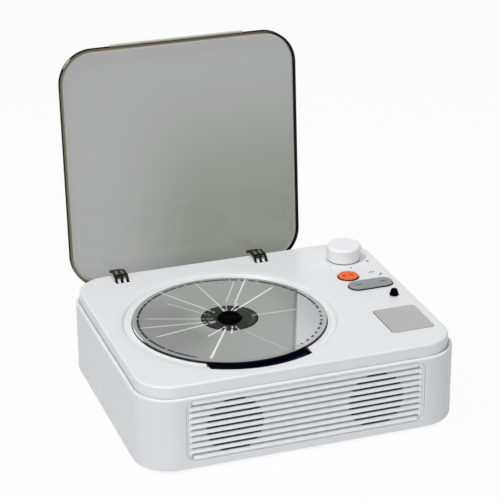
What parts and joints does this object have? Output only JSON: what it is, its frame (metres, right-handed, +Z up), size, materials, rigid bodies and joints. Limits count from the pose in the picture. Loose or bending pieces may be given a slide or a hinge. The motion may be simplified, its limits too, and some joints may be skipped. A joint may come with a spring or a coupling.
{
  "type": "portable cd player",
  "caption": "Portable disc player: a rounded case with a smoked hinged lid, a disc on its turntable, deck controls and a ribbed speaker grille.",
  "frame": {"origin": "on the surface that the feet stand on, under the middle of the case, 1.5 mm under its flat underside", "axes": "+Z up, +X to the player's right, -Y to its front, where the grille is; the lid stands open at the back"},
  "size_m": [0.2024, 0.1855, 0.2047],
  "materials": {
    "white_plastic": "fine satin white ABS",
    "navy_plastic": "gloss dark navy",
    "smoked_plastic": "clear smoked acrylic",
    "black_plastic": "gloss black",
    "black_rubber": "matt black rubber",
    "disc_silver": "silver printed disc with a mirror sheen",
    "orange_plastic": "satin orange",
    "grey_plastic": "satin grey",
    "silver_plate": "brushed silver plate, bare",
    "steel": "plain steel",
    "circuit_board": "green solder mask",
    "nylon": "natural nylon",
    "battery_wrap": "blue shrink wrap",
    "cone_paper": "black paper cone",
    "wire_cover": "red wire insulation"
  },
  "bodies": {
    "housing": {"lower_shell": "white_plastic", "top_deck": "white_plastic", "grille_panel": "white_plastic", "disc_tray": "navy_plastic", "badge_plate": "silver_plate", "ir_receiver": "black_plastic", "foot_1": "black_rubber", "foot_2": "black_rubber", "foot_3": "black_rubber", "foot_4": "black_rubber", "case_screw_1": "steel", "case_screw_2": "steel", "case_screw_3": "steel", "case_screw_4": "steel", "hinge_pin_left": "steel", "hinge_pin_right": "steel", "mech_chassis": "black_plastic", "damper_1": "black_rubber", "damper_2": "black_rubber", "damper_3": "black_rubber", "damper_screw_1": "steel", "damper_screw_2": "steel", "damper_screw_3": "steel", "spindle_motor": "steel", "sled_rail_left": "steel", "sled_rail_right": "steel", "sled_motor": "steel", "main_pcb": "circuit_board", "control_pcb": "circuit_board", "battery_pack": "battery_wrap", "usb_socket": "steel", "headphone_jack": "black_plastic", "volume_pot": "steel", "play_switch": "black_plastic", "prev_switch": "black_plastic", "next_switch": "black_plastic", "speaker_basket_left": "steel", "speaker_basket_right": "steel", "speaker_cone_left": "cone_paper", "speaker_cone_right": "cone_paper", "speaker_magnet_left": "steel", "speaker_magnet_right": "steel", "speaker_wire_left": "wire_cover", "speaker_wire_right": "wire_cover", "battery_wire": "wire_cover"},
    "lid": {"lid_panel": "smoked_plastic", "hinge_arm_left": "smoked_plastic", "hinge_arm_right": "smoked_plastic"},
    "turntable": {"turntable_hub": "black_plastic", "turntable_mat": "black_rubber", "motor_shaft": "steel"},
    "disc": {"compact_disc": "disc_silver"},
    "volume": {"volume_knob": "white_plastic"},
    "play": {"play_button": "orange_plastic"},
    "skip": {"skip_rocker": "grey_plastic"},
    "sled": {"laser_sled": "nylon", "objective_lens": "navy_plastic"},
    "reduction": {"reduction_gear": "nylon"},
    "pinion": {"motor_pinion": "steel"}
  },
  "joints": [
    {"name": "lid_hinge", "type": "hinge", "parent": "housing", "child": "lid", "pos_m": [-0.0189, 0.0768, 0.0476], "axis": [-1, 0, 0], "range_deg": [-93.9, 0]},
    {"name": "turntable_spin", "type": "hinge", "parent": "housing", "child": "turntable", "pos_m": [-0.0214, -0.0054, 0.0535], "axis": [0, 0, 1], "continuous": true},
    {"name": "disc_lift", "type": "slide", "parent": "turntable", "child": "disc", "axis": [0, 0, 1], "range_m": [0, 0.04]},
    {"name": "volume_turn", "type": "hinge", "parent": "housing", "child": "volume", "pos_m": [0.078, 0.054, 0.056], "axis": [0, 0, -1], "range_deg": [-150, 150]},
    {"name": "play_press", "type": "slide", "parent": "housing", "child": "play", "axis": [0, 0, -1], "range_m": [0, 0.0008], "stiffness_N_per_m": 800, "springref_m": -0.0006},
    {"name": "skip_rock", "type": "hinge", "parent": "housing", "child": "skip", "pos_m": [0.079, 0.0103, 0.0524], "axis": [0, 1, 0], "range_deg": [-2.5, 2.5], "stiffness_Nm_per_rad": 0.3},
    {"name": "sled_slide", "type": "slide", "parent": "housing", "child": "sled", "axis": [0, 1, 0], "range_m": [0, 0.032]},
    {"name": "gear_spin", "type": "hinge", "parent": "housing", "child": "reduction", "pos_m": [0.006, 0.0346, 0.042], "axis": [0, 0, 1], "range_deg": [-382, 0]},
    {"name": "pinion_spin", "type": "hinge", "parent": "housing", "child": "pinion", "pos_m": [0.018, 0.0346, 0.039], "axis": [0, 0, 1], "range_deg": [0, 1150]}
  ],
  "couplings": [
    {"joint": "gear_spin", "follows": "sled_slide", "rad_per_m": -208.33},
    {"joint": "pinion_spin", "follows": "sled_slide", "rad_per_m": 625}
  ]
}
